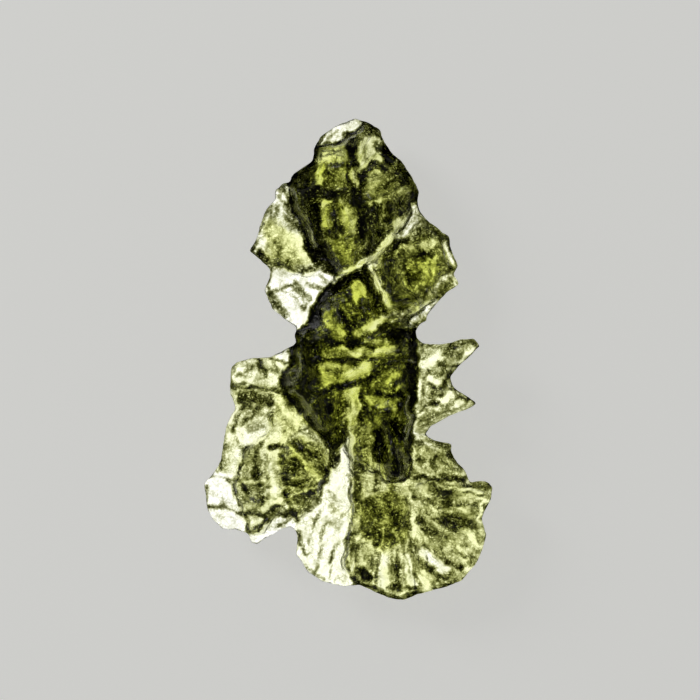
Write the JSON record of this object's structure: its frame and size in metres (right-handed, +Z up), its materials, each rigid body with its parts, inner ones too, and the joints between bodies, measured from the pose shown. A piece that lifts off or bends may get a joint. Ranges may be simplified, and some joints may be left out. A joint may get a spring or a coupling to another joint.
{
  "type": "moldavite",
  "caption": "Sculpted piece of natural green glass, with a thick ridged column, thin wings, spikes and a fluted fan, lying on its back.",
  "frame": {"origin": "centre of the bounding box, on the surface the stone lies on", "axes": "+X across the stone towards its spikes, +Y along it towards the head, +Z up, away from the surface it lies on"},
  "size_m": [0.029, 0.0484, 0.008],
  "materials": {
    "moldavite": "etched natural glass, clear and bottle green"
  },
  "bodies": {
    "root": {"moldavite": "moldavite"}
  },
  "joints": []
}
